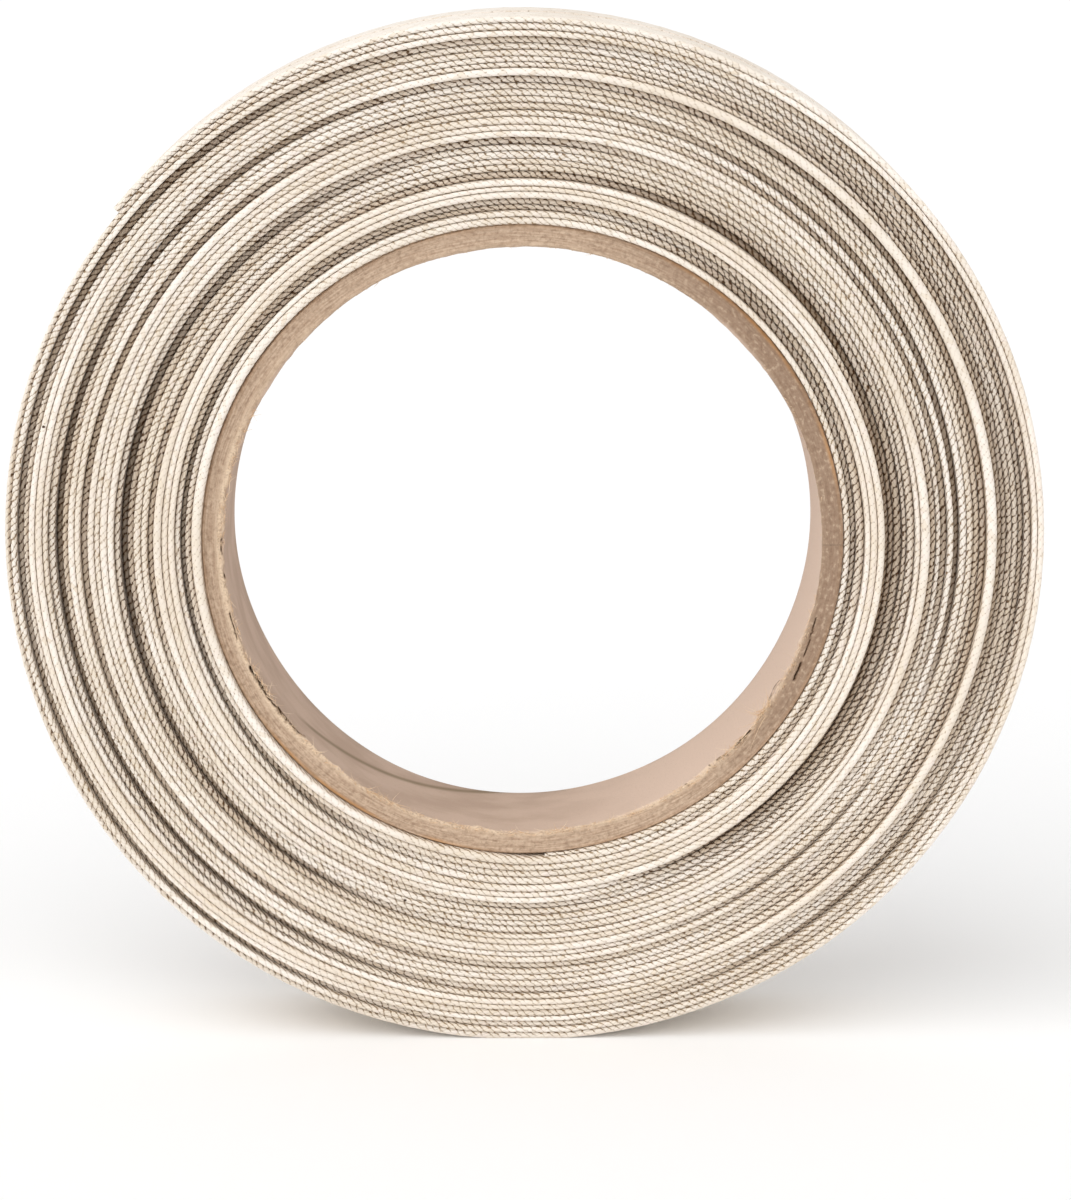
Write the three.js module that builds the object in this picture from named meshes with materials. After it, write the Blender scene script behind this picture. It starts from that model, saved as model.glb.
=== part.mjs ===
// A roll of single-fold bias binding: unbleached cotton tape wound about 30 turns on a cardboard core.
// Millimetres, +Z up. The roll stands on its rim with its axis along Y, on a small flat spot whose
// middle is the origin. The face that shows has its back to +Y. Angles are in degrees, counted
// counter-clockwise from +X as that face is seen, which is also the way the tape winds outwards.
import * as THREE from "three";

// The tape
const TAPE_WIDTH = 20;
const TURNS = 30;
const OUTER_RADIUS = 66.9;
const END_ANGLE = 140;
const END_STEP = 0.6;
const END_CUT_ANGLE = 0.4;

// The core
const BORE_RADIUS = 38.1;
const CORE_WALL = 2.9;
const CORE_WIDTH = 19.6;
const CORE_RECESS = 0.5;
const CORE_EDGE = 0.4;

// How the pieces sit, and how finely they are cut into facets
const SEAT_GAP = 0.3;
const FLAT_HALF_ANGLE = 6;
const STATION_ANGLE = 6;
const STEP_HALF_WIDTH = 0.1;

// The turns don't lie level: the tape wandered sideways as it was wound, in these bands. Each row
// gives the turns it covers, up to the one counted from the core, and how far they stand out of the
// face that shows at the eight points of a compass with east at +X and north at the top. The tape
// has one width, so the far face goes in by as much as this one comes out.
const COMPASS = ["e", "ne", "n", "nw", "w", "sw", "s", "se"];
const BANDS = [
  { to: 1.5, e: -1.0, ne: 0.2, n: 0.0, nw: 0.4, w: 0.8, sw: 0.8, s: 0.3, se: -0.4 },
  { to: 3, e: 0.0, ne: -1.0, n: -0.2, nw: -0.8, w: -1.2, sw: -0.8, s: 0.0, se: 0.2 },
  { to: 6, e: 0.8, ne: 0.9, n: 0.4, nw: 0.5, w: 0.8, sw: 0.8, s: 0.5, se: 0.6 },
  { to: 8, e: -2.3, ne: -1.6, n: -0.2, nw: 0.0, w: 0.2, sw: 0.1, s: 0.0, se: -1.6 },
  { to: 10, e: -1.4, ne: -1.0, n: -0.2, nw: 0.0, w: 0.2, sw: 0.3, s: 0.0, se: -0.9 },
  { to: 12.5, e: 0.5, ne: 0.2, n: -0.4, nw: -1.2, w: -2.2, sw: -1.4, s: -0.1, se: 0.3 },
  { to: 16.6, e: -0.7, ne: -0.6, n: 0.1, nw: 0.2, w: 0.3, sw: 0.3, s: 0.2, se: -0.2 },
  { to: 17.5, e: -1.6, ne: -1.2, n: -0.6, nw: -1.2, w: -1.2, sw: -0.8, s: 0.0, se: -0.6 },
  { to: 21.4, e: -0.5, ne: -0.2, n: -0.3, nw: -0.2, w: -0.1, sw: 0.0, s: 0.0, se: -0.2 },
  { to: 22.5, e: 0.9, ne: 0.9, n: 0.4, nw: 0.0, w: -2.2, sw: -2.0, s: -0.4, se: 0.4 },
  { to: 26.5, e: -1.3, ne: -1.0, n: -0.3, nw: 0.0, w: 0.6, sw: 0.6, s: 0.5, se: -0.4 },
  { to: 28, e: -0.3, ne: 0.0, n: -0.3, nw: -0.9, w: -1.5, sw: -0.3, s: -0.5, se: -0.7 },
  { to: TURNS, e: 0.3, ne: 0.0, n: -0.2, nw: -0.3, w: -0.8, sw: 0.2, s: -0.2, se: -0.2 },
];

const CORE_RADIUS = BORE_RADIUS + CORE_WALL;
const INNER_RADIUS = CORE_RADIUS + SEAT_GAP;
const AXIS_HEIGHT = outerRadius(270 - FLAT_HALF_ANGLE) * Math.cos(radians(FLAT_HALF_ANGLE));

function radians(degrees) {
  return (degrees * Math.PI) / 180;
}

// The radius of the outermost turn, which grows from just past the tape's end all the way round
// to the end itself.
function outerRadius(angle) {
  const past = (angle - END_ANGLE + 720) % 360;
  return OUTER_RADIUS - END_STEP * (1 - past / 360);
}

// How far a band stands out at an angle, eased from one compass point to the next.
function lift(band, angle) {
  const place = ((((angle % 360) + 360) % 360) / 360) * COMPASS.length;
  const first = Math.floor(place) % COMPASS.length;
  const second = (first + 1) % COMPASS.length;
  const share = place - Math.floor(place);
  const eased = share * share * (3 - 2 * share);
  return band[COMPASS[first]] * (1 - eased) + band[COMPASS[second]] * eased;
}

// A point of the wound tape, by how many turns out it lies, its angle and its place along the axis.
// Nothing reaches below the flat spot.
function windingPoint(turns, angle, y) {
  const radius = INNER_RADIUS + (outerRadius(angle) - INNER_RADIUS) * (turns / TURNS);
  const x = radius * Math.cos(radians(angle));
  const z = radius * Math.sin(radians(angle));
  return new THREE.Vector3(x, y, Math.max(z, -AXIS_HEIGHT));
}

// The cross-section of the wound tape at an angle: out along the face that shows, band by band,
// and back along the far face.
function windingSection(angle) {
  const near = [];
  const far = [];
  const turnWidth = (outerRadius(angle) - INNER_RADIUS) / TURNS;
  const stepHalf = STEP_HALF_WIDTH / turnWidth;
  BANDS.forEach((band, row) => {
    const from = row === 0 ? 0 : BANDS[row - 1].to + stepHalf;
    const to = row === BANDS.length - 1 ? band.to : band.to - stepHalf;
    for (const turns of [from, to]) {
      near.push(windingPoint(turns, angle, -TAPE_WIDTH / 2 - lift(band, angle)));
      far.unshift(windingPoint(turns, angle, TAPE_WIDTH / 2 - lift(band, angle)));
    }
  });
  return [...near, ...far];
}

// The angles at which the winding has a cross-section, with one on each side of the tape's cut end.
function stationAngles() {
  const angles = [];
  for (let angle = 0; angle < 360; angle += STATION_ANGLE) {
    angles.push(angle);
  }
  angles.push(END_ANGLE - END_CUT_ANGLE, END_ANGLE);
  return angles.sort((a, b) => a - b);
}

// A closed ring through cross-sections with the same number of points.
function ringGeometry(sections) {
  const across = sections[0].length;
  const positions = sections.flat().flatMap((point) => point.toArray());
  const index = [];
  for (let i = 0; i < sections.length; i += 1) {
    const next = (i + 1) % sections.length;
    for (let j = 0; j < across; j += 1) {
      const after = (j + 1) % across;
      const [a, b] = [i * across + j, i * across + after];
      const [c, d] = [next * across + after, next * across + j];
      index.push(a, b, c, a, c, d);
    }
  }
  const geometry = new THREE.BufferGeometry();
  geometry.setAttribute("position", new THREE.Float32BufferAttribute(positions, 3));
  geometry.setIndex(index);
  geometry.computeVertexNormals();
  return geometry;
}

function woundTape() {
  const cotton = new THREE.MeshStandardMaterial({ color: 0xe6dccb, roughness: 0.95, metalness: 0 });
  const tape = new THREE.Mesh(ringGeometry(stationAngles().map(windingSection)), cotton);
  tape.name = "wound_tape";
  tape.position.z = AXIS_HEIGHT;
  return tape;
}

function coreTube() {
  const near = -TAPE_WIDTH / 2 + CORE_RECESS;
  const far = near + CORE_WIDTH;
  const profile = [
    new THREE.Vector2(BORE_RADIUS, near + CORE_EDGE),
    new THREE.Vector2(BORE_RADIUS + CORE_EDGE, near),
    new THREE.Vector2(CORE_RADIUS - CORE_EDGE, near),
    new THREE.Vector2(CORE_RADIUS, near + CORE_EDGE),
    new THREE.Vector2(CORE_RADIUS, far - CORE_EDGE),
    new THREE.Vector2(CORE_RADIUS - CORE_EDGE, far),
    new THREE.Vector2(BORE_RADIUS + CORE_EDGE, far),
    new THREE.Vector2(BORE_RADIUS, far - CORE_EDGE),
    new THREE.Vector2(BORE_RADIUS, near + CORE_EDGE),
  ];
  const cardboard = new THREE.MeshStandardMaterial({ color: 0xbf9f82, roughness: 0.9, metalness: 0 });
  const core = new THREE.Mesh(new THREE.LatheGeometry(profile, 360 / STATION_ANGLE), cardboard);
  core.name = "core_tube";
  core.position.z = AXIS_HEIGHT;
  return core;
}

const roll = new THREE.Group();
roll.add(woundTape(), coreTube());

export default roll;
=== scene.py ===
# A roll of single-fold bias binding in unbleached cotton, standing on its rim: the folded tape
# wound in one long spiral on a cardboard core. Sizes in this script are in millimetres, and MM turns
# them into Blender's metres. Angles are in degrees, counter-clockwise from +X as the face at -Y
# is seen, and a place along the winding is given in turns from the tape's start.
import math

import bpy
import numpy as np
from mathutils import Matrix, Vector


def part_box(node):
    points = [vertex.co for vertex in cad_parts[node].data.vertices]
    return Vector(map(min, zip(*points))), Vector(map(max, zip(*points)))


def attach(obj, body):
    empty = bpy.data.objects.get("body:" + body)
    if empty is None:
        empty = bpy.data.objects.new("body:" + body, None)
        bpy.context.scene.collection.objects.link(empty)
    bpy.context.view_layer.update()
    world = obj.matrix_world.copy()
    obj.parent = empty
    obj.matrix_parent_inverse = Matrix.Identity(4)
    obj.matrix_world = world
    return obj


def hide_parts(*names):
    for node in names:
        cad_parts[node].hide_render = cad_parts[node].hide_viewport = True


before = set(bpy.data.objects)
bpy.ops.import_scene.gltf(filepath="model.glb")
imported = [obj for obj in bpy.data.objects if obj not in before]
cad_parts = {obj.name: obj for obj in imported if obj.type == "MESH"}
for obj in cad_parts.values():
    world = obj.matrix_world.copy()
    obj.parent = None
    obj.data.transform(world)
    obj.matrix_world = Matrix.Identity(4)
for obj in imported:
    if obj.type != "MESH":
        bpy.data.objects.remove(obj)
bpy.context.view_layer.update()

MM = 0.001

# The photograph's frame, and where the middle of the roll's near face lies in it
PHOTO_WIDTH = 1071
PHOTO_HEIGHT = 1200
PHOTO_SCALE = 7.84  # pixels to the millimetre at the near face
ROLL_AT = (522.4, 544)
CAMERA_DISTANCE = 480
CAMERA_ELEVATION = 11.5

# The core, from the frame
core_low, core_high = (np.array(corner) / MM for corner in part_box("core_tube"))
CORE_RADIUS = (core_high[0] - core_low[0]) / 2
AXIS_HEIGHT = (core_high[2] + core_low[2]) / 2
CORE_NEAR = core_low[1]
CORE_FAR = core_high[1]
CORE_LENGTH = CORE_FAR - CORE_NEAR
CORE_WALL = 2.9
BORE_RADIUS = CORE_RADIUS - CORE_WALL

# The tape, and how its spiral runs
TAPE_WIDTH = 20
NEAR_FLAP = 9.7
FAR_FLAP = 7.5
CLOTH_WIDTH = NEAR_FLAP + TAPE_WIDTH + FAR_FLAP
CLOTH = 0.34
START_ANGLE = 274
END_ANGLE = 140
WHOLE_TURNS = 30
TURNS = WHOLE_TURNS + (END_ANGLE - START_ANGLE) % 360 / 360
OUTER_RADIUS = 66.9
CORE_GAP = 0.06
INNER_RADIUS = CORE_RADIUS + CORE_GAP
PITCH = (OUTER_RADIUS - INNER_RADIUS) / (TURNS + 1)
TURN_GAP = 0.04

# The flat spot that the roll stands on: how deep the turns over it give way, and the sine of the
# angle below level from which they may
FLAT_DEPTH = 6
LEAST_BELOW = 0.5

# How far along the winding the second turn takes to climb over the tape's start, in turns, and
# how much longer each later turn takes
FIRST_CLIMB = 0.035
CLIMB_GROWTH = 0.05

# The tape's start is pressed thin, and the turns over it dip there, less from one to the next
START_SHARE = 0.5
START_REACH = 0.05
START_DIPS = [0, 1, 0.75, 0.5, 0.25, 0]

# The tape's mesh
STEPS_PER_TURN = 120
FOLD_STEPS = 6
FOLD_DEPTH = 0.42
PLY_SHARE = 0.45
THINNEST = 0.36
EDGE_WANDER = 0.2
EDGE_SEEDS = (61, 62)

# How far each turn stands out of the near face, at the compass points it passes on its way round
# from the tape's start. Each row holds for the turns up to the one it names, from the core out.
PLACES = ["se", "e", "ne", "n", "nw", "w", "sw", "s"]
FIRST_PLACE = 315
BANDS = [
    dict(to=1, se=-0.2, e=-0.6, ne=0.6, n=0.2, nw=0.4, w=1.0, sw=1.0, s=0.2),
    dict(to=2, se=-0.5, e=-1.2, ne=-1.0, n=0.2, nw=0.2, w=0.0, sw=0.3, s=0.1),
    dict(to=3, se=0.5, e=-0.2, ne=-0.7, n=-0.6, nw=-0.9, w=-1.4, sw=-0.8, s=0.0),
    dict(to=4, se=0.5, e=0.8, ne=0.2, n=-0.5, nw=-0.6, w=0.0, sw=0.1, s=0.1),
    dict(to=6, se=0.4, e=0.8, ne=0.8, n=0.4, nw=0.5, w=0.6, sw=0.6, s=0.2),
    dict(to=7, se=-2.2, e=-2.5, ne=0.6, n=0.3, nw=0.5, w=0.8, sw=0.1, s=0.2),
    dict(to=8, se=-1.9, e=-2.4, ne=-2.4, n=-0.8, nw=-0.5, w=-0.4, sw=0.1, s=-0.4),
    dict(to=9, se=-1.4, e=-2.0, ne=-1.5, n=-0.7, nw=-0.1, w=0.2, sw=0.5, s=-0.2),
    dict(to=10, se=-0.6, e=-1.3, ne=-1.1, n=-0.7, nw=0.0, w=0.1, sw=0.0, s=-0.1),
    dict(to=11, se=0.0, e=-0.5, ne=-0.5, n=-0.6, nw=-0.7, w=-1.2, sw=-0.3, s=-0.1),
    dict(to=12, se=0.5, e=0.3, ne=0.0, n=-0.6, nw=-1.9, w=-2.9, sw=-1.9, s=-0.2),
    dict(to=13, se=0.5, e=0.8, ne=0.2, n=-0.7, nw=-0.6, w=-0.5, sw=-0.8, s=0.1),
    dict(to=15, se=-0.2, e=-0.4, ne=0.0, n=0.2, nw=0.2, w=0.3, sw=0.2, s=0.2),
    dict(to=16, se=0.1, e=-1.3, ne=-1.2, n=0.2, nw=0.2, w=0.1, sw=0.3, s=0.0),
    dict(to=17, se=-0.8, e=-0.2, ne=-0.5, n=-0.3, nw=0.4, w=0.4, sw=0.4, s=0.1),
    dict(to=18, se=0.1, e=-2.0, ne=-1.5, n=-0.7, nw=-0.9, w=-0.8, sw=-0.8, s=-0.3),
    dict(to=20, se=-0.5, e=-0.3, ne=-0.2, n=-0.6, nw=0.0, w=0.3, sw=0.1, s=0.0),
    dict(to=21, se=-0.6, e=-0.7, ne=-0.1, n=-0.6, nw=-0.5, w=-0.7, sw=0.1, s=0.0),
    dict(to=22, se=0.0, e=-0.5, ne=-0.6, n=-0.6, nw=-1.9, w=-2.4, sw=-1.8, s=-0.3),
    dict(to=23, se=0.7, e=1.1, ne=1.0, n=0.3, nw=-0.5, w=-0.4, sw=-0.6, s=0.1),
    dict(to=24, se=0.0, e=-0.7, ne=0.0, n=-0.3, nw=-0.1, w=0.3, sw=0.1, s=0.3),
    dict(to=26, se=-0.5, e=-1.3, ne=-1.2, n=-0.4, nw=0.1, w=0.5, sw=0.8, s=0.2),
    dict(to=27, se=-1.6, e=-1.3, ne=-1.2, n=-0.7, nw=-0.2, w=-0.2, sw=0.5, s=0.1),
    dict(to=28, se=-0.2, e=-1.7, ne=-0.7, n=-0.5, nw=-1.4, w=-1.5, sw=-0.9, s=-0.3),
    dict(to=29, se=-0.6, e=-0.5, ne=-0.5, n=0.2, nw=0.2, w=-0.3, sw=0.3, s=0.1),
    dict(to=31, se=-0.1, e=0.5, ne=0.3, n=-0.1, nw=-0.6, w=-1.4, sw=-0.4, s=-0.1),
]
BAND_WANDER = 0.06
BAND_SEED = 7

# How many turns away a proud turn still makes one look sunk, in painted shade
SUNK_REACH = 4

# Turns that were left slack, so that they look wider: where their middle is, in turns, how much
# wider they are and how far along the winding that goes, in turns. The next ones are squeezed.
SLACK_TURNS = [
    dict(at=0.70, wider=0.42, reach=0.16),
    dict(at=2.25, wider=0.20, reach=0.15),
    dict(at=5.20, wider=0.16, reach=0.20),
    dict(at=12.25, wider=0.28, reach=0.20),
    dict(at=22.28, wider=0.50, reach=0.22),
]
SQUEEZED_TURNS = 4
THICKNESS_WANDER = 0.075
THICKNESS_SEED = 19


def smooth(share):
    share = np.clip(share, 0, 1)
    return share * share * (3 - 2 * share)


def eased(turn, knots):
    """A value along the winding, between knots that lie at the compass places of each turn."""
    first = (FIRST_PLACE - START_ANGLE) / 360
    place = np.clip((turn - first) * len(PLACES), 0, len(knots) - 1)
    low = np.minimum(np.floor(place).astype(int), len(knots) - 2)
    share = smooth(place - low)
    return knots[low] * (1 - share) + knots[low + 1] * share


def lift_at(turn):
    """How far the tape stands out of the near face."""
    knots = []
    for number in range(WHOLE_TURNS + 2):
        band = next((row for row in BANDS if number < row["to"]), BANDS[-1])
        knots += [band[place] for place in PLACES]
    wander = np.random.default_rng(BAND_SEED).normal(0, BAND_WANDER, len(knots))
    return eased(turn, np.array(knots) + wander)


def sunk_at(turn, side):
    """How deep the tape lies between the turns beside it, on the near side (-1) or the far one
    (1): how much further out the proudest of them stands, counting less the further off it is."""
    sunk = np.zeros_like(turn)
    for step in range(1, SUNK_REACH + 1):
        for beside in (turn - step, turn + step):
            rise = -side * (lift_at(np.clip(beside, 0, TURNS)) - lift_at(turn))
            sunk = np.maximum(sunk, rise / (step + 0.5))
    return sunk


def turns_under(turn):
    """How many thicknesses of tape lie under a place. Each turn climbs by one where the tape's
    start lies under it: the first ones in a short step, later ones over a longer stretch."""
    whole = np.floor(turn)
    since = turn - whole
    reach = np.minimum(FIRST_CLIMB + CLIMB_GROWTH * whole, 1)
    share = np.clip((since - 1 + reach) / reach, 0, 1)
    climb = share * reach + smooth(share) * (1 - reach)
    rows = np.clip(whole, 0, len(START_DIPS) - 1).astype(int)
    dips = (1 - START_SHARE) * np.array([*START_DIPS, 0])
    return whole + climb * (1 - dips[rows + 1]) - dips[rows] * (1 - smooth(since / START_REACH))


def inner_radius(turn):
    """The radius of the tape's inner side, which the winding left a little uneven."""
    count = (WHOLE_TURNS + 3) * len(PLACES)
    slack = eased(turn, np.random.default_rng(THICKNESS_SEED).normal(0, THICKNESS_WANDER, count))
    for row in SLACK_TURNS:
        for after in range(1, SQUEEZED_TURNS + 1):
            off = (turn - row["at"] - after) / row["reach"]
            left = 1 - (after - 1) / SQUEEZED_TURNS
            slack = slack + row["wider"] * left * np.exp(-off * off)
    ease = np.clip(turn, 0, 1) * np.clip(TURNS + 1 - turn, 0, 1)
    return INNER_RADIUS + PITCH * turns_under(turn) + slack * ease


def thickness_at(turn):
    return np.maximum(inner_radius(turn + 1) - inner_radius(turn) - TURN_GAP, THINNEST)


def placed(turn, radius, y):
    """Points of the winding, pressed flat where the roll stands."""
    angle = np.radians(START_ANGLE + 360 * turn)
    room = AXIS_HEIGHT / np.maximum(-np.sin(angle), LEAST_BELOW)
    rim = OUTER_RADIUS - PITCH * ((END_ANGLE - np.degrees(angle)) % 360) / 360
    excess = np.maximum(rim - room, 0)
    share = np.clip((radius - rim + FLAT_DEPTH) / FLAT_DEPTH, 0, 1)
    radius = radius - excess * share
    x = radius * np.cos(angle)
    z = np.maximum(AXIS_HEIGHT + radius * np.sin(angle), 0)
    return np.stack([x, y, z], axis=-1)


def fold_place(thickness, turned):
    """The height and the way in from the tape's edge of a point of a fold, by how far round it is
    turned, from 0 on the outer side to 180 degrees on the inner one."""
    height = thickness * (1 + np.cos(turned)) / 2
    inward = thickness * FOLD_DEPTH * (1 - np.sin(turned))
    return height, inward


def tape_section(turn, thickness):
    """The folded tape's cross-section, a list of points that go round it, with its flaps on the
    outer side. Each has a height from the inner side out, a place across the tape, a place on the
    unfolded cloth, and how deep it lies in a crevice, from 0 to 1, with another turn outside it
    and without one. All are arrays along the winding."""
    half = TAPE_WIDTH / 2
    ply = np.minimum(CLOTH, PLY_SHARE * thickness)
    count = (WHOLE_TURNS + 2) * len(PLACES)
    sides = []
    for side, flap, seed in zip((-1, 1), (NEAR_FLAP, FAR_FLAP), EDGE_SEEDS):
        wander = eased(turn, np.random.default_rng(seed).normal(0, EDGE_WANDER, count))
        raw_edge = side * (half - flap) + wander
        at_fold = NEAR_FLAP if side < 0 else NEAR_FLAP + TAPE_WIDTH
        at_raw = 0 if side < 0 else CLOTH_WIDTH
        part = []
        for step in range(FOLD_STEPS, -1, -1):
            share = step / FOLD_STEPS
            height, inward = fold_place(thickness, math.pi * share)
            across = side * (half - inward)
            cloth = at_fold + side * thickness * math.pi / 2 * (0.5 - share)
            inner = 2 * share - 1
            part.append((height, across, cloth, abs(inner), max(inner, 0)))
        part.append((thickness, raw_edge, at_raw, 1, 0))
        part.append((thickness - ply, raw_edge, at_raw, 1, 1))
        part.append((thickness / 2, side * (half - thickness * FOLD_DEPTH), at_fold, 1, 1))
        part.append((ply, raw_edge, NEAR_FLAP + half + raw_edge, 1, 0.5))
        sides.append(part)
    section = sides[1] + sides[0][::-1]
    return [[value + np.zeros_like(thickness) for value in point] for point in section]


SHARP_ANGLE = 50


def mesh_object(name, points, faces, material):
    mesh = bpy.data.meshes.new(name)
    mesh.from_pydata((points.reshape(-1, 3) * MM).tolist(), [], faces)
    mesh.materials.append(material)
    mesh.polygons.foreach_set("use_smooth", np.ones(len(mesh.polygons), bool))
    mesh.set_sharp_from_angle(angle=math.radians(SHARP_ANGLE))
    made = bpy.data.objects.new(name, mesh)
    bpy.context.scene.collection.objects.link(made)
    return made


def add_values(made, name, values):
    """Keep a number for each point of a mesh, for its material."""
    kept = made.data.attributes.new(name, "FLOAT", "POINT")
    kept.data.foreach_set("value", values.astype(np.float32).ravel())


def add_places(made, name, places):
    """Give a mesh a UV map of places in millimetres, from a place for each of its points."""
    corner = np.empty(len(made.data.loops), int)
    made.data.loops.foreach_get("vertex_index", corner)
    uv_map = made.data.uv_layers.new(name=name)
    uv_map.uv.foreach_set("vector", places.reshape(-1, 2)[corner].astype(np.float32).ravel())


def tube_faces(count, across):
    """Quads along a tube of count sections with across points each, and a cap at either end."""
    section = np.arange(count - 1)[:, None] * across
    point = np.arange(across)[None, :]
    after = (point + 1) % across
    ring = section + across
    quads = np.stack([section + point, ring + point, ring + after, section + after], axis=-1)
    first = list(range(across))
    last = list(range((count - 1) * across, count * across))[::-1]
    return quads.reshape(-1, 4).tolist() + [first, last]


def winding_length(turn):
    """How far along the tape each place of the winding lies, in millimetres."""
    middle = inner_radius(turn) + thickness_at(turn) / 2
    steps = np.diff(turn) * math.tau * (middle[1:] + middle[:-1]) / 2
    return np.concatenate([[0], np.cumsum(steps)])


# The outermost turn's outer surface, from this share of its thickness out, is as smooth as a turn
# that stands this far out of the near face
OUTSIDE_FROM = 0.6
OUTSIDE_LOOK = 0.35


def wound_tape(material):
    count = int(TURNS * STEPS_PER_TURN) + 1
    turn = np.linspace(0, TURNS, count)
    inner = inner_radius(turn)
    thickness = thickness_at(turn)
    section = tape_section(turn, thickness)
    height, across, cloth, covered, bare = (np.stack(part, axis=1) for part in zip(*section))
    every = np.repeat(turn[:, None], len(section), axis=1)
    lift = lift_at(turn)[:, None]
    points = placed(every, inner[:, None] + height, across - lift)
    tape = mesh_object("binding_tape", points, tube_faces(count, len(section)), material)
    length = winding_length(turn)
    along = np.repeat(length[:, None], len(section), axis=1)
    add_places(tape, "Weave", np.stack([along, cloth], axis=-1))
    last = every > TURNS - 1
    side = np.where(across < (NEAR_FLAP - FAR_FLAP) / 2, -1, 1)
    near_sunk = sunk_at(turn, -1)[:, None]
    far_sunk = sunk_at(turn, 1)[:, None]
    outside = last & (height > OUTSIDE_FROM * thickness[:, None])
    add_values(tape, "turn", every)
    add_values(tape, "crevice", np.where(last, bare, covered))
    add_values(tape, "proud", np.where(outside, OUTSIDE_LOOK, -side * lift))
    add_values(tape, "sunk", np.where(outside, 0, np.where(side < 0, near_sunk, far_sunk)))
    return tape, length[-1]


class Nodes:
    """A new material, with short ways to add its shader nodes and links."""

    def __init__(self, name):
        self.material = bpy.data.materials.new(name)
        self.material.use_nodes = True
        self.tree = self.material.node_tree
        self.shader = self.tree.nodes["Principled BSDF"]

    def add(self, kind, **settings):
        node = self.tree.nodes.new("ShaderNode" + kind)
        for key, value in settings.items():
            setattr(node, key, value)
        return node

    def put(self, socket, value):
        if isinstance(value, bpy.types.NodeSocket):
            self.tree.links.new(value, socket)
        else:
            socket.default_value = value

    def finish(self, colour, roughness, specular):
        self.put(self.shader.inputs["Base Color"], colour)
        self.put(self.shader.inputs["Roughness"], roughness)
        self.put(self.shader.inputs["Specular IOR Level"], specular)
        return self.material

    def attribute(self, name):
        return self.add("Attribute", attribute_name=name).outputs["Fac"]

    def place(self, uv_map):
        split = self.add("SeparateXYZ")
        self.put(split.inputs[0], self.add("UVMap", uv_map=uv_map).outputs[0])
        return split.outputs[0], split.outputs[1]

    def math(self, operation, *values, clamp=False):
        node = self.add("Math", operation=operation, use_clamp=clamp)
        for socket, value in zip(node.inputs, values):
            self.put(socket, value)
        return node.outputs[0]

    def scaled(self, value, factor, offset=0.0):
        return self.math("MULTIPLY_ADD", value, factor, offset)

    def mix(self, share, first, second, data_type="RGBA"):
        node = self.add("Mix", data_type=data_type)
        self.put(node.inputs["Factor"], share)
        self.put(node.inputs["A"], first)
        self.put(node.inputs["B"], second)
        return node.outputs["Result"]

    def vector(self, x, y, z=0.0):
        node = self.add("CombineXYZ")
        for socket, value in zip(node.inputs, (x, y, z)):
            self.put(socket, value)
        return node.outputs[0]

    def noise(self, x, y, grain, detail=2.0):
        """Noise over two places; grain is how many cells of it there are to a unit of each."""
        node = self.add("TexNoise")
        across = self.vector(self.math("MULTIPLY", x, grain[0]), self.math("MULTIPLY", y, grain[1]))
        self.put(node.inputs["Vector"], across)
        self.put(node.inputs["Scale"], 1.0)
        self.put(node.inputs["Detail"], detail)
        return node.outputs["Fac"]

    def ramp(self, value, low, high, to_low=0.0, to_high=1.0):
        node = self.add("MapRange", interpolation_type="SMOOTHSTEP")
        for socket, number in zip(node.inputs, (value, low, high, to_low, to_high)):
            self.put(socket, number)
        return node.outputs[0]

    def bump(self, height, distance, strength=1.0):
        node = self.add("Bump")
        self.put(node.inputs["Height"], height)
        self.put(node.inputs["Distance"], distance * MM)
        self.put(node.inputs["Strength"], strength)
        self.put(self.shader.inputs["Normal"], node.outputs[0])


def paint(colour):
    """A colour for a shader, from its parts as they look, out of 255: the sRGB curve undone."""
    parts = [(value / 255 + 0.055) / 1.055 for value in colour]
    return (*[part**2.4 for part in parts], 1.0)


# The cotton's colours as they look, out of 255. Sunk and shaded are painted shade on turns that lie
# deep; the gap colours are the weave's gaps between the threads, darkened as painted shade; the line
# colours are painted shade in the crevices between the turns.
COTTON = dict(
    dull=(235, 222, 205),
    bright=(248, 240, 230),
    rosy=(242, 228, 219),
    slub=(230, 215, 194),
    sunk=(204, 176, 140),
    shaded=(128, 100, 70),
    gap=(152, 127, 96),
    deep_gap_shade=(90, 62, 36),
    line=(148, 122, 90),
    deep_crevice_shade=(78, 50, 24),
    lint=(236, 224, 206),
    bright_lint=(252, 248, 240),
)

# The weave: two sets of threads that cross the tape on the bias, the second ones less high. A
# thread loses the share THREAD_HUMP of its height between the threads that it passes over, and the
# power THREAD_ROUND rounds it off sideways.
FIRST_THREADS = dict(pitch=0.733, angle=45.7)
SECOND_THREADS = dict(pitch=0.517, angle=-52.6)
SECOND_HEIGHT = 0.72
THREAD_HUMP = 0.62
THREAD_ROUND = 0.6
WEAVE_DEPTH = 0.11

# How far the threads wander from straight, in threads, each by noise of so many cells to the
# millimetre, and what is added to the sum
THREAD_WANDERS = [
    dict(cells=0.025, threads=7.0),
    dict(cells=0.35, threads=1.2),
    dict(cells=1.4, threads=0.8),
]
WANDER_OFFSET = -3.9

# Cells of noise to the millimetre along the tape, and to the turn or the millimetre across it
PATCH_CELLS = (0.03, 0.9)
LINE_CELLS = (0.05, 3.0)
WARMTH_CELLS = (0.5, 0.5)
FUZZ_CELLS = (7.0, 7.0)

# Cells of noise to a thread of either set
SLUB_CELLS = (0.37, 0.71)


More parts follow.
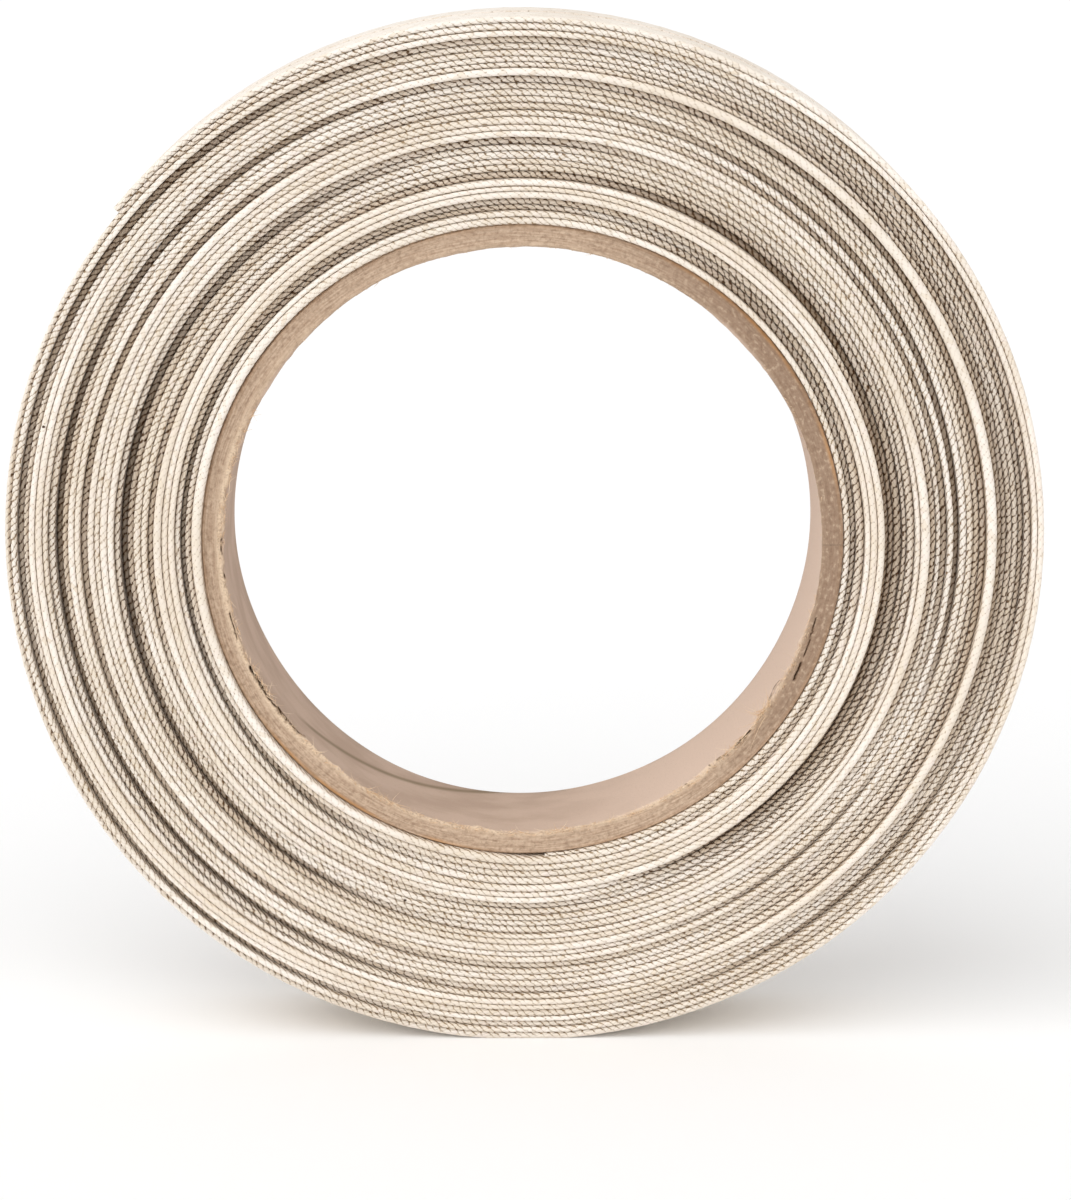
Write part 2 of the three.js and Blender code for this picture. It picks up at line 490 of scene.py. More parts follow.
def cotton(name):
    """Unbleached cotton in a plain weave. The brown lines between the turns are painted shade, which
    its threads break up, most where the turns lie low; turns that lie deep between others are painted
    brown all over, as painted shade."""
    n = Nodes(name)
    tone = {key: paint(colour) for key, colour in COTTON.items()}
    along, cloth = n.place("Weave")
    turn = n.attribute("turn")
    proud = n.attribute("proud")
    sunk = n.attribute("sunk")
    crevice = n.attribute("crevice")

    # Where a point lies among the threads of each set, and how high either set stands there
    wander = WANDER_OFFSET
    for row in THREAD_WANDERS:
        wander = n.scaled(n.noise(along, cloth, (row["cells"], row["cells"])), row["threads"], wander)
    threads = []
    for row in (FIRST_THREADS, SECOND_THREADS):
        turned = math.radians(row["angle"])
        first = n.math("MULTIPLY", along, math.cos(turned) / row["pitch"])
        place = n.scaled(cloth, math.sin(turned) / row["pitch"], first)
        threads.append(n.math("ADD", place, wander))
    cells = [n.math("FLOOR", value) for value in threads]
    crowns = []
    for value in threads:
        off = n.scaled(n.math("FRACT", value), 2.0, -1.0)
        crowns.append(n.math("SUBTRACT", 1.0, n.math("MULTIPLY", off, off), clamp=True))
    first_on_top = n.math("ABSOLUTE", n.math("MODULO", n.math("ADD", *cells), 2.0))
    heights = []
    for over, under, share in ((*crowns, 1.0), (*crowns[::-1], SECOND_HEIGHT)):
        humped = n.scaled(under, THREAD_HUMP * share, (1 - THREAD_HUMP) * share)
        heights.append(n.math("MULTIPLY", n.math("POWER", over, THREAD_ROUND), humped))
    height = n.mix(first_on_top, heights[1], heights[0], data_type="FLOAT")

    # How clearly the weave shows: least on the turns that stand out, and it differs in patches. It
    # also sets how much painted shade the gaps and the lines between the turns get.
    patch = n.noise(along, turn, PATCH_CELLS)
    shows = n.math("ADD", proud, n.scaled(patch, 1.6, -0.8))
    shows = n.ramp(shows, -0.3, 0.7, 1.0, 0.2)

    # The threads' own colour, and the colour of the gaps between them. Turns that lie deep between
    # prouder ones are painted tan, then brown, as painted shade, less on the threads' tops, and so
    # are their gaps.
    slub = n.noise(*cells, SLUB_CELLS, 3.0)
    warmth = n.noise(along, cloth, WARMTH_CELLS)
    cream = n.mix(n.ramp(patch, 0.35, 0.68), tone["dull"], tone["bright"])
    cream = n.mix(n.ramp(warmth, 0.5, 0.75, 0.0, 0.6), cream, tone["rosy"])
    cream = n.mix(n.ramp(slub, 0.45, 0.75, 0.0, 0.8), cream, tone["slub"])
    tan_shade = n.mix(n.ramp(sunk, 0.25, 0.8, 0.0, 0.35), cream, tone["sunk"])
    top = n.math("MULTIPLY", crowns[0], n.math("SUBTRACT", 1.0, crevice))
    shade = n.math("MULTIPLY", n.ramp(sunk, 0.35, 1.6), n.scaled(top, -0.4, 0.9))
    high = n.mix(shade, tan_shade, tone["shaded"])
    low = n.mix(n.ramp(sunk, 0.1, 0.9), tone["gap"], tone["deep_gap_shade"])

    # Where the gaps are: beside each thread, most in the crevices, and holes at the corners. These
    # are the weave's own gaps, shown more in the crevices as painted shade.
    between = n.ramp(crowns[1], 0.45, 0.0, 0.0, 0.3)
    gaps = n.math("ADD", n.ramp(crowns[0], 0.7, 0.08), between, clamp=True)
    edge = n.scaled(crevice, 1.1, n.scaled(slub, 2.6, -0.85))
    gaps = n.math("MULTIPLY", gaps, n.math("MULTIPLY", edge, shows), clamp=True)
    holes = n.ramp(n.math("MAXIMUM", *crowns), 0.6, 0.2, 0.0, 0.8)
    gaps = n.math("MAXIMUM", gaps, n.math("MULTIPLY", holes, n.ramp(slub, 0.4, 0.55)))
    woven = n.mix(gaps, high, low)

    # Painted shade in the crevice between this turn and the next: a brown line, which the threads
    # break up, darker and wider on turns that lie deep.
    stitch = n.scaled(crowns[1], 0.25, n.math("MULTIPLY", crowns[0], 0.75))
    broken = n.math("MULTIPLY", n.math("SUBTRACT", 0.62, stitch), shows)
    line_width = n.scaled(n.noise(along, turn, LINE_CELLS), 0.5, -0.36)
    line_width = n.math("ADD", line_width, n.ramp(sunk, 0.1, 0.9, 0.0, 0.3))
    deep = n.math("ADD", crevice, n.scaled(broken, 1.9, line_width))
    line = n.mix(n.ramp(sunk, 0.0, 0.8), tone["line"], tone["deep_crevice_shade"])
    colour = n.mix(n.ramp(deep, 0.6, 1.0, 0.0, 0.9), woven, line)

    fuzz = n.noise(along, cloth, FUZZ_CELLS, 3.0)
    n.bump(n.scaled(fuzz, 0.35, n.math("MULTIPLY", height, shows)), WEAVE_DEPTH)
    n.put(n.shader.inputs["Sheen Weight"], 0.12)
    n.put(n.shader.inputs["Sheen Roughness"], 0.5)
    return n.finish(colour, roughness=0.92, specular=0.12)


# The cardboard's colours as they look, out of 255. One wall colour is painted light; the shaded cut
# and crack colours are painted shade.
BOARD = dict(
    wall=(184, 160, 142),
    light_wall=(198, 174, 156),
    painted_light_wall=(216, 192, 174),
    wall_grain=(170, 146, 126),
    seam=(120, 106, 78),
    cut=(176, 149, 126),
    light_cut=(204, 179, 155),
    cut_grain=(150, 122, 99),
    shaded_cut=(142, 116, 96),
    pit=(118, 92, 72),
    chip=(220, 196, 170),
    glue=(190, 144, 98),
    torn=(226, 202, 174),
    crack=(78, 55, 35),
    fibre=(206, 168, 128),
    pale_fibre=(246, 224, 194),
)

# Cells of noise to the millimetre, round the core and across it
CLOUD_CELLS = (0.12, 0.2)
BOARD_GRAIN_CELLS = (3.5, 3.5)
SPECK_CELLS = (1.5, 1.9)
STREAK_CELLS = (0.25, 5.0)
BOARD_DEPTH = 0.12

# The core's spiral seam, as an angle on the bore and a depth behind the near face. It fades in
# over a few degrees round its first end.
SEAM_FROM = dict(angle=223, depth=7.8)
SEAM_TO = dict(angle=265, depth=19.6)
SEAM_WIDTH = 1.3
SEAM_FADE = (217, 225)


def arc_at_bore(angle):
    return math.radians(1) * BORE_RADIUS * angle


def cardboard(name):
    """Brown board: smooth and pinkish inside, rough on its cut end, pale where it is torn."""
    n = Nodes(name)
    tone = {key: paint(colour) for key, colour in BOARD.items()}
    around, path = n.place("Board")
    end_face = n.attribute("end_face")
    cloudy = n.noise(around, path, CLOUD_CELLS, 3.0)
    grainy = n.noise(around, path, BOARD_GRAIN_CELLS, 4.0)
    specks = n.noise(around, path, SPECK_CELLS, 4.0)
    streaks = n.noise(around, path, STREAK_CELLS, 3.0)

    # The bore and its seam
    wall = n.mix(n.ramp(cloudy, 0.35, 0.65), tone["wall"], tone["light_wall"])
    # Painted light: the bore paler along its lower right
    wall = n.mix(n.attribute("pale"), wall, tone["painted_light_wall"])
    wall = n.mix(n.ramp(grainy, 0.5, 0.8, 0.0, 0.35), wall, tone["wall_grain"])
    seam_rise = SEAM_TO["depth"] - SEAM_FROM["depth"]
    slope = seam_rise / arc_at_bore(SEAM_TO["angle"] - SEAM_FROM["angle"])
    lean = n.scaled(around, slope, -slope * arc_at_bore(SEAM_FROM["angle"]))
    behind = n.math("SUBTRACT", n.attribute("behind"), SEAM_FROM["depth"])
    off_seam = n.math("ABSOLUTE", n.math("SUBTRACT", behind, lean))
    begun = n.ramp(around, *(arc_at_bore(angle) for angle in SEAM_FADE))
    seam = n.math("MULTIPLY", begun, n.ramp(off_seam, SEAM_WIDTH, 0.0, 0.0, 0.7))
    wall = n.mix(seam, wall, tone["seam"])

    # The cut end, with its tint of glue, its torn fibres and its cracks
    cut = n.mix(n.ramp(streaks, 0.3, 0.7), tone["cut"], tone["light_cut"])
    cut = n.mix(n.ramp(grainy, 0.42, 0.75, 0.0, 0.45), cut, tone["cut_grain"])
    # Painted shade: the cut end darker on its right side
    cut = n.mix(n.math("MULTIPLY", n.attribute("shaded"), 0.7), cut, tone["shaded_cut"])
    cut = n.mix(n.ramp(specks, 0.48, 0.36, 0.0, 0.3), cut, tone["pit"])
    cut = n.mix(n.ramp(specks, 0.54, 0.66, 0.0, 0.35), cut, tone["chip"])
    tint = n.math("MULTIPLY", n.attribute("outer_edge"), n.ramp(cloudy, 0.3, 0.6))
    cut = n.mix(tint, cut, tone["glue"])
    colour = n.mix(end_face, wall, cut)
    fibrous = n.math("MULTIPLY", n.attribute("torn"), n.ramp(grainy, 0.3, 0.6))
    colour = n.mix(fibrous, colour, tone["torn"])
    # Painted shade inside the cracks
    colour = n.mix(n.attribute("crack"), colour, tone["crack"])

    rough = n.math("ADD", n.math("MULTIPLY", streaks, 0.35), grainy)
    rough = n.math("MULTIPLY", rough, n.ramp(end_face, 0.0, 1.0, 0.35, 1.0))
    n.bump(rough, BOARD_DEPTH, strength=0.8)
    return n.finish(colour, roughness=0.85, specular=0.15)


# The core's mesh: how many steps there are round it, and across each part of its section
CORE_STEPS = 1200
BORE_STEPS = 14
RIM_STEPS = 8
FACE_STEPS = 20
OUTSIDE_STEPS = 5
FAR_STEPS = 8
RIM_DEPTH = 1.4
RIM_ROUND = 0.3
RIM_ANGLES = (30, 60)
EDGE_BREAK = 0.2

# Cracks round the near face's inner edge, where the board has split: their angles, how far out of the
# bore they lie at either end, and how wide and deep they are. Besides their depth in the mesh, they
# are painted dark brown inside, as painted shade.
CRACKS = [
    dict(start=178.0, end=182.5, out=0.00, then=0.05, width=0.09, depth=0.3),
    dict(start=185.2, end=187.0, out=0.20, then=0.25, width=0.13, depth=0.5),
    dict(start=193.0, end=199.0, out=0.55, then=0.60, width=0.06, depth=0.3),
    dict(start=204.0, end=210.0, out=0.45, then=0.25, width=0.16, depth=0.7),
    dict(start=209.0, end=214.5, out=0.25, then=0.20, width=0.12, depth=0.5),
    dict(start=213.5, end=218.0, out=0.20, then=0.10, width=0.18, depth=0.7),
    dict(start=217.5, end=222.5, out=0.10, then=-0.1, width=0.10, depth=0.5),
    dict(start=303.2, end=304.2, out=-0.15, then=-0.15, width=0.14, depth=0.5),
    dict(start=308.0, end=314.0, out=0.00, then=-0.10, width=0.05, depth=0.2),
    dict(start=315.5, end=320.5, out=-0.15, then=-0.10, width=0.11, depth=0.5),
    dict(start=326.5, end=332.0, out=-0.20, then=-0.05, width=0.13, depth=0.6),
    dict(start=332.5, end=337.0, out=1.10, then=0.95, width=0.11, depth=0.5),
    dict(start=337.5, end=346.0, out=0.95, then=0.80, width=0.06, depth=0.3),
]
CRACK_END_ANGLE = 0.8
CRACK_DARKNESS = 1.6
CRACK_WAVES = [
    dict(rate=3.1, reach=0.025),
    dict(rate=7.3, reach=0.02),
]

# Stretches of the near face's outer edge that the board's glue has left orange
TINTED_EDGES = [
    dict(at=36, reach=16),
    dict(at=238, reach=13),
]
EDGE_TINT = 0.2

# The stretch of the bore painted paler, as painted light on its lower right: the angle at which it
# begins, how long it takes to fade in or out, and how long it is, in degrees
PALE_FROM = 262
PALE_FADE = 45
PALE_REACH = 140

# The stretch of the near face's inner edge that is torn most, how torn the rest is, and how far
# from that edge the tears reach
TORN_FROM = 150
TORN_TO = 352
TORN_END_ANGLE = 12
LEAST_TORN = 0.3
TORN_REACH = 0.55

# The pale band along the torn edge. It lies further out on one side, and is fainter where the cut end
# has painted shade.
TORN_BAND = dict(out=0.05, width=0.45, further=0.55, fainter=0.6)

# Two sides of the core: the angle of each one's middle, and the cosines of the angle from there at
# which it begins and is full. On the shaded side the cut end is painted darker, as painted shade.
SHADED_SIDE = dict(angle=10, begins=0.3, full=0.9)
FURTHER_SIDE = dict(angle=180, begins=0.6, full=0.9)

# The board's unevenness, by its seed and by how many mesh steps it is blurred round the core and
# across it, and how far it moves the near face, the torn edge and the bore
BOARD_GRAINS = dict(
    coarse=dict(seed=3, blur=(9, 3)),
    fine=dict(seed=4, blur=(1.6, 1.0)),
    streaks=dict(seed=5, blur=(14, 0.8)),
    waves=dict(seed=6, blur=(30, 12)),
)
FACE_ROUGH = dict(fine=0.035, streaks=0.03)
TORN_BACK = dict(coarse=0.16, fine=0.10)
TORN_OUT = dict(coarse=0.16, fine=0.09)
BORE_WAVES = 0.06

# How far into the bore the near edge's tears and cracks may reach, and over how much they fade
NEAR_DEPTH = 8
NEAR_FADE = 2


def grain(seed, shape, blur):
    """Seeded unevenness over a mesh that closes on itself both ways, smoothed over blur steps."""
    field = np.random.default_rng(seed).normal(size=shape)
    along = np.fft.fftfreq(shape[0])[:, None] * blur[0]
    across = np.fft.fftfreq(shape[1])[None, :] * blur[1]
    kept = np.exp(-2 * math.pi**2 * (along**2 + across**2))
    field = np.fft.ifft2(np.fft.fft2(field) * kept).real
    return field / field.std()


def core_section():
    """The core's cross-section as (radius, y, out), where out is how far a point lies from the
    near face's inner edge: outwards along that face, and below 0 along the bore."""
    section = []
    bore = np.linspace(CORE_LENGTH - EDGE_BREAK, RIM_DEPTH + EDGE_BREAK, BORE_STEPS)
    rim = np.linspace(RIM_DEPTH, RIM_ROUND, RIM_STEPS)
    for behind in [*bore, *rim]:
        section.append((BORE_RADIUS, CORE_NEAR + behind, -behind))
    for turned in RIM_ANGLES:
        outward = RIM_ROUND * (1 - math.cos(math.radians(turned)))
        back = RIM_ROUND * (1 - math.sin(math.radians(turned)))
        section.append((BORE_RADIUS + outward, CORE_NEAR + back, outward - back))
    for out in np.linspace(RIM_ROUND, CORE_WALL - EDGE_BREAK, FACE_STEPS):
        section.append((BORE_RADIUS + out, CORE_NEAR, out))
    section.append((CORE_RADIUS, CORE_NEAR + EDGE_BREAK, CORE_WALL))
    for behind in np.linspace(1, CORE_LENGTH - EDGE_BREAK, OUTSIDE_STEPS):
        section.append((CORE_RADIUS, CORE_NEAR + behind, CORE_WALL + behind))
    for inward in np.linspace(EDGE_BREAK, CORE_WALL - EDGE_BREAK, FAR_STEPS):
        section.append((CORE_RADIUS - inward, CORE_FAR, CORE_WALL + CORE_LENGTH + inward))
    return np.array(section)


def torn_at(angle):
    """How torn the near face's inner edge is at an angle, up to 1."""
    inside = np.minimum(angle - TORN_FROM, TORN_TO - angle) / TORN_END_ANGLE
    return LEAST_TORN + (1 - LEAST_TORN) * smooth(inside)


def on_side(angle, side):
    """How far an angle lies within a side of the core, from 0 to 1."""
    facing = np.cos(np.radians(angle - side["angle"]))
    return smooth((facing - side["begins"]) / (side["full"] - side["begins"]))


def crack_depths(angle, out):
    """How deep the cracks go at each angle and place from the bore, and how dark their painted shade
    is.
    """
    depth = np.zeros(np.broadcast(angle, out).shape)
    dark = np.zeros_like(depth)
    for row in CRACKS:
        share = (angle - row["start"]) / (row["end"] - row["start"])
        middle = row["out"] + (row["then"] - row["out"]) * share
        middle = middle + sum(wave["reach"] * np.sin(wave["rate"] * angle) for wave in CRACK_WAVES)
        inside = np.minimum(angle - row["start"], row["end"] - angle) / CRACK_END_ANGLE
        near = smooth(inside) * np.exp(-(((out - middle) / row["width"]) ** 2))
        depth = np.maximum(depth, row["depth"] * near)
        dark = np.maximum(dark, smooth(near * CRACK_DARKNESS))
    return depth, dark


def core_board(material):
    section = core_section()
    angle = np.arange(CORE_STEPS)[:, None] * 360 / CORE_STEPS
    radius, y, out = (section[None, :, i] + 0 * angle for i in range(3))
    shape = radius.shape
    on_face = (out >= 0) & (out < CORE_WALL)
    near_side = smooth((CORE_WALL + 0.5 - out) * 2) * smooth((out + NEAR_DEPTH) / NEAR_FADE)
    tears = torn_at(angle) * np.exp(-((out / TORN_REACH) ** 2))
    shaded = on_side(angle, SHADED_SIDE)
    further = on_side(angle, FURTHER_SIDE)
    grains = [grain(row["seed"], shape, row["blur"]) for row in BOARD_GRAINS.values()]
    coarse, fine, streaks, waves = grains
    depth, dark = crack_depths(angle, out)
    y = y + near_side * on_face * (FACE_ROUGH["fine"] * fine + FACE_ROUGH["streaks"] * streaks)
    y = y + tears * (TORN_BACK["coarse"] * np.abs(coarse) + TORN_BACK["fine"] * fine)
    y = y + depth * near_side
    radius = radius + tears * (TORN_OUT["coarse"] * coarse + TORN_OUT["fine"] * fine)
    radius = radius + BORE_WAVES * waves * (out < 0)
    x = radius * np.cos(np.radians(angle))
    z = AXIS_HEIGHT + radius * np.sin(np.radians(angle))
    ring = np.arange(CORE_STEPS)[:, None] * shape[1]
    following = np.roll(ring, -1, axis=0)
    point = np.arange(shape[1])[None, :]
    after = (point + 1) % shape[1]
    faces = np.stack([ring + point, ring + after, following + after, following + point], axis=-1)
    points = np.stack([x, y, z], axis=-1)
    core = mesh_object("core_board", points, faces.reshape(-1, 4).tolist(), material)
    everywhere = np.zeros(shape)
    add_places(core, "Board", np.stack([arc_at_bore(angle) + everywhere, out], axis=-1))
    add_values(core, "behind", -out)
    add_values(core, "end_face", smooth((out + 0.12 * coarse + 0.25) / 0.5))
    off_band = (out - TORN_BAND["out"] - TORN_BAND["further"] * further) / TORN_BAND["width"]
    pale_band = np.exp(-(off_band**2)) * (1 - TORN_BAND["fainter"] * shaded)
    add_values(core, "torn", torn_at(angle) * pale_band)
    add_values(core, "crack", dark * near_side)
    tints = [smooth(2 - np.abs(angle - row["at"]) / row["reach"]) for row in TINTED_EDGES]
    tint = np.minimum(EDGE_TINT + sum(tints), 1)
    add_values(core, "outer_edge", smooth((out - CORE_WALL + 0.7) / 0.5) * on_face * tint)
    add_values(core, "shaded", shaded + everywhere)
    # Painted light on the bore's lower right
    past = (angle - PALE_FROM) % 360
    pale = smooth(past / PALE_FADE) * smooth((PALE_REACH - past) / PALE_FADE)
    add_values(core, "pale", pale + everywhere)
    return core


# Loose fibres: thin hairs of three sides, which lose this share of their width to the tip
HAIR_STEPS = 4
HAIR_SIDES = 3
HAIR_TAPER = 0.75

# How deep their roots lie in a piece: behind its near face, and within its rounded edge
ROOT_BEHIND = 0.05
ROOT_WITHIN = 0.03


def hairs(name, root, way, bend, length, width, material):
    """A mesh of hairs from their roots, ways (unit vectors), sideways bends, lengths and widths."""
    count = len(root)
    share = np.linspace(0, 1, HAIR_STEPS + 1)[None, :, None]
    reach = length[:, None, None]
    middle = root[:, None, :] + way[:, None, :] * share * reach
    middle = middle + bend[:, None, :] * share**2 * reach
    side = np.cross(way, bend)
    side = side / np.linalg.norm(side, axis=1, keepdims=True)
    up = np.cross(way, side)
    taper = (width[:, None, None] / 2) * (1 - HAIR_TAPER * share)
    corners = []
    for corner in range(HAIR_SIDES):
        turned = math.tau * (corner / HAIR_SIDES + 0.25)
        across = side * math.cos(turned) + up * math.sin(turned)
        corners.append(middle + across[:, None, :] * taper)
    points = np.stack(corners, axis=2)
    faces = []
    for low in range(0, HAIR_SIDES * HAIR_STEPS, HAIR_SIDES):
        high = low + HAIR_SIDES
        for corner in range(HAIR_SIDES):
            after = (corner + 1) % HAIR_SIDES
            faces.append([low + corner, low + after, high + after, high + corner])
    tip = HAIR_SIDES * HAIR_STEPS
    offsets = np.arange(count)[:, None, None] * (tip + HAIR_SIDES)
    quads = (np.array(faces)[None] + offsets).reshape(-1, 4).tolist()
    caps = (np.array([[0, 2, 1], [tip, tip + 1, tip + 2]])[None] + offsets).reshape(-1, 3).tolist()
    return mesh_object(name, points, quads + caps, material)


def unit(vectors):
    return vectors / np.linalg.norm(vectors, axis=1, keepdims=True)


# The lint on the tape: how many fibres there are, the share of them that is on the outermost
# turn, how far round their fold they stand, in radians, and their sizes. None is near the floor.
LINT_SEED = 31
LINT_COUNT = 2200
OUTER_LINT_SHARE = 0.45
OUTER_LINT_TURNED = (0.1, 1.7)
INNER_LINT_TURNED = (0.9, 2.2)
LINT_LENGTHS = (0.25, 0.8)
LINT_WIDTHS = (0.025, 0.05)
LINT_FLOOR = 2


def tape_lint(material):
    """Short fibres that stand out of the folds on the near face, most on the outermost turn."""
    rng = np.random.default_rng(LINT_SEED)
    count = LINT_COUNT
    outer = rng.random(count) < OUTER_LINT_SHARE
    turn = np.where(outer, TURNS - rng.random(count), rng.random(count) * TURNS)
    outer_turned = rng.uniform(*OUTER_LINT_TURNED, count)
    inner_turned = rng.uniform(*INNER_LINT_TURNED, count)
    turned = np.where(outer, outer_turned, inner_turned)
    thickness = thickness_at(turn)
    height, inward = fold_place(thickness, turned)
    y = inward - TAPE_WIDTH / 2 - lift_at(turn) + ROOT_BEHIND
    root = placed(turn, inner_radius(turn) + height - ROOT_WITHIN, y)
    angle = np.radians(START_ANGLE + 360 * turn)
    nothing = np.zeros(count)
    out = np.stack([np.cos(angle), nothing, np.sin(angle)], axis=1) * np.cos(turned)[:, None]
    out = out + np.stack([nothing, -np.sin(turned), nothing], axis=1)
    along = np.stack([-np.sin(angle), nothing, np.cos(angle)], axis=1)
    way = 0.7 * out + rng.normal(0, 0.7, (count, 1)) * along
    way = unit(way + rng.normal(0, 0.25, (count, 3)))
    bend = rng.normal(0, 0.45, (count, 3))
    length = rng.uniform(*LINT_LENGTHS, count)
    width = rng.uniform(*LINT_WIDTHS, count)
    kept = root[:, 2] > LINT_FLOOR
    parts = [values[kept] for values in (root, way, bend, length, width)]
    return hairs("tape_lint", *parts, material)


# Torn fibres at the core's near inner edge: the angle of their middle, how far they spread in
# degrees, how many there are, their longest length and how far they stand out
BOARD_FIBRES = [
    dict(angle=270, spread=80, count=420, longest=0.9, stand=0.25),
    dict(angle=90, spread=90, count=120, longest=0.5, stand=0.2),
    dict(angle=241, spread=3.5, count=40, longest=1.8, stand=0.5),
    dict(angle=277.5, spread=1.5, count=14, longest=1.6, stand=0.5),
    dict(angle=324, spread=2.5, count=60, longest=2.4, stand=0.6),
    dict(angle=316, spread=3, count=24, longest=1.3, stand=0.4),
    dict(angle=335, spread=3, count=24, longest=1.4, stand=0.4),
    dict(angle=208, spread=4, count=30, longest=1.3, stand=0.4),
    dict(angle=166, spread=14, count=90, longest=0.9, stand=0.35),
]
FIBRE_SEED = 43
FIBRE_WIDTHS = (0.05, 0.11)


def board_fibres(material):
    rng = np.random.default_rng(FIBRE_SEED)
    parts = []
    for row in BOARD_FIBRES:
        count = row["count"]
        angle = np.radians(row["angle"] + row["spread"] * rng.uniform(-1, 1, count))
        out = rng.normal(0.05, 0.22, count)
        radius = BORE_RADIUS + np.maximum(out, 0) + ROOT_WITHIN
        y = CORE_NEAR + np.maximum(-out, 0) + ROOT_BEHIND
        root = np.stack([radius * np.cos(angle), y, AXIS_HEIGHT + radius * np.sin(angle)], axis=1)
        nothing = np.zeros(count)
        along = np.stack([-np.sin(angle), nothing, np.cos(angle)], axis=1)
        along = along * rng.choice([-1, 1], (count, 1))
        inward = np.stack([-np.cos(angle), nothing - 0.9, -np.sin(angle)], axis=1)
        way = unit(along + row["stand"] * rng.uniform(0, 2, (count, 1)) * inward)
        bend = rng.normal(0, 0.5, (count, 3)) + 0.2 * inward
        length = rng.uniform(0.25, 1.0, count) * row["longest"]
        width = rng.uniform(*FIBRE_WIDTHS, count)
        parts.append((root, way, bend, length, width))
    joined = [np.concatenate(column) for column in zip(*parts)]
    return hairs("board_fibres", *joined, material)


def fibre_cloth(name, first, second):
    """The material of loose fibres, each of a colour between two."""
    n = Nodes(name)
    random = n.add("NewGeometry").outputs["Random Per Island"]
    n.put(n.shader.inputs["Sheen Weight"], 0.1)
    return n.finish(n.mix(random, paint(first), paint(second)), roughness=0.95, specular=0.1)


# Dark flecks of seed in the cotton, by their angle and their distance from the middle
SEEDS = [
    dict(angle=165.7, radius=62.8, size=0.34),
    dict(angle=167.6, radius=59.3, size=0.26),
    dict(angle=149.3, radius=47.1, size=0.24),
    dict(angle=252.0, radius=49.5, size=0.34),
    dict(angle=268.4, radius=65.9, size=0.22),
    dict(angle=76.0, radius=56.8, size=0.20),
    dict(angle=110.0, radius=51.3, size=0.18),
    dict(angle=20.0, radius=62.1, size=0.18),
    dict(angle=332.0, radius=54.4, size=0.20),
]
SEED_RINGS = 6
SEED_SIDES = 8
SEED_SHAPE = dict(longer=1.3, flatter=0.6, wobble=0.12)
SEED_COLOURS = dict(dark=(52, 38, 28), light=(92, 68, 48))


def seed_flecks(material):
    """Small flattened grains, each sitting on the crest of the turn that passes its place."""
    points = []
    faces = []
    turns = np.arange(0, TURNS, 1)
    for row in SEEDS:
        turn = turns + (row["angle"] - START_ANGLE) % 360 / 360
        turn = turn[turn < TURNS]
        crest = inner_radius(turn) + thickness_at(turn) / 2
        nearest = np.argmin(np.abs(crest - row["radius"]))
        at = placed(turn[nearest], crest[nearest], -TAPE_WIDTH / 2 - lift_at(turn[nearest]))
        first = len(points)
        for ring in range(SEED_RINGS + 1):
            lean = math.pi * ring / SEED_RINGS
            for side in range(SEED_SIDES if 0 < ring < SEED_RINGS else 1):
                spin = math.tau * side / SEED_SIDES
                wobble = 1 + SEED_SHAPE["wobble"] * math.sin(3 * spin + row["angle"])
                across = math.sin(lean) * wobble * row["size"] / 2
                x = SEED_SHAPE["longer"] * across * math.cos(spin)
                y = -SEED_SHAPE["flatter"] * math.cos(lean) * row["size"] / 2
                z = across * math.sin(spin)
                points.append(at + np.array([x, y, z]))
        last = len(points) - 1
        for side in range(SEED_SIDES):
            following = (side + 1) % SEED_SIDES
            faces.append((first, first + 1 + side, first + 1 + following))
            for ring in range(SEED_RINGS - 2):
                low = first + 1 + ring * SEED_SIDES
                high = low + SEED_SIDES
                faces.append((low + side, high + side, high + following, low + following))
            low = last - SEED_SIDES
            faces.append((low + side, last, low + following))
    return mesh_object("seed_flecks", np.array(points), faces, material)


def seed_coat(name):
    n = Nodes(name)
    random = n.add("NewGeometry").outputs["Random Per Island"]
    colour = n.mix(random, paint(SEED_COLOURS["dark"]), paint(SEED_COLOURS["light"]))
    return n.finish(colour, roughness=0.6, specular=0.3)


# The studio
FLOOR_HALF = 6000
FLOOR_COLOUR = (250, 250, 250)
SKY_STRENGTH = 0.7
SENSOR_WIDTH = 36


def floor():
    corners = [(-1, -1, 0), (1, -1, 0), (1, 1, 0), (-1, 1, 0)]
    n = Nodes("floor_paint")
    material = n.finish(paint(FLOOR_COLOUR), roughness=0.9, specular=0.0)
    mesh_object("floor", np.array(corners) * FLOOR_HALF, [(0, 1, 2, 3)], material)


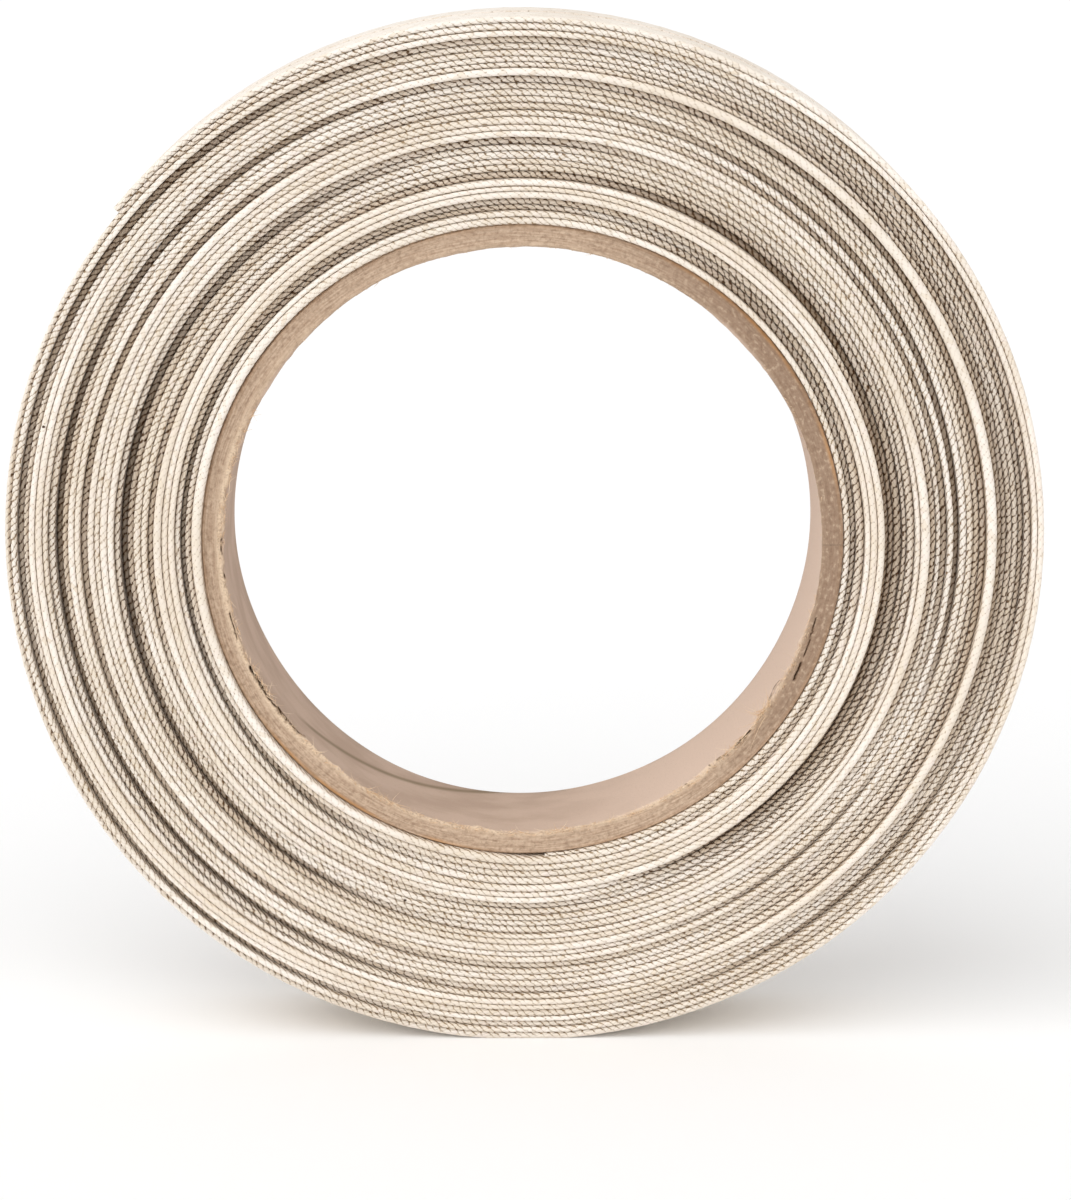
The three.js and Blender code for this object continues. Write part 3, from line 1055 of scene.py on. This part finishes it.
def sun(name, towards, spread, strength):
    """A soft light from far away; towards is the way to it, and spread how wide it looks."""
    data = bpy.data.lights.new(name, "SUN")
    data.angle = math.radians(spread)
    data.energy = strength
    lamp = bpy.data.objects.new(name, data)
    bpy.context.scene.collection.objects.link(lamp)
    lamp.rotation_euler = Vector(towards).to_track_quat("Z", "Y").to_euler()


def studio():
    world = bpy.data.worlds.new("studio")
    bpy.context.scene.world = world
    world.use_nodes = True
    background = world.node_tree.nodes["Background"]
    background.inputs["Color"].default_value = (1, 1, 1, 1)
    background.inputs["Strength"].default_value = SKY_STRENGTH
    sun("key", towards=(-0.5, -0.62, 0.8), spread=70, strength=1.45)
    sun("fill", towards=(0.6, -0.8, 0.5), spread=70, strength=0.35)
    bpy.context.scene.view_settings.view_transform = "Standard"


def camera():
    data = bpy.data.cameras.new("camera")
    made = bpy.data.objects.new("camera", data)
    bpy.context.scene.collection.objects.link(made)
    elevation = math.radians(CAMERA_ELEVATION)
    middle = Vector((0, -TAPE_WIDTH / 2, AXIS_HEIGHT)) * MM
    back = Vector((0, -math.cos(elevation), math.sin(elevation)))
    right = (PHOTO_WIDTH / 2 - ROLL_AT[0]) / PHOTO_SCALE
    down = (PHOTO_HEIGHT / 2 - ROLL_AT[1]) / PHOTO_SCALE
    aim = middle + Vector((right, 0, -down)) * MM
    made.location = middle + back * CAMERA_DISTANCE * MM
    made.rotation_euler = (aim - made.location).to_track_quat("-Z", "Y").to_euler()
    data.sensor_width = SENSOR_WIDTH
    data.lens = SENSOR_WIDTH * CAMERA_DISTANCE * PHOTO_SCALE / PHOTO_HEIGHT
    data.clip_start = 0.01
    data.clip_end = 100
    bpy.context.scene.camera = made


camera()
studio()
floor()

core = core_board(cardboard("brown_board"))
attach(core, "root")
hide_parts("core_tube")

torn_fibres = board_fibres(fibre_cloth("board_fibre", BOARD["fibre"], BOARD["pale_fibre"]))
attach(torn_fibres, "root")

tape, tape_length = wound_tape(cotton("cotton_cloth"))
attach(tape, "root")
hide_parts("wound_tape")

lint = tape_lint(fibre_cloth("cotton_fibre", COTTON["lint"], COTTON["bright_lint"]))
flecks = seed_flecks(seed_coat("seed_coat"))
for piece in (lint, flecks):
    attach(piece, "root")
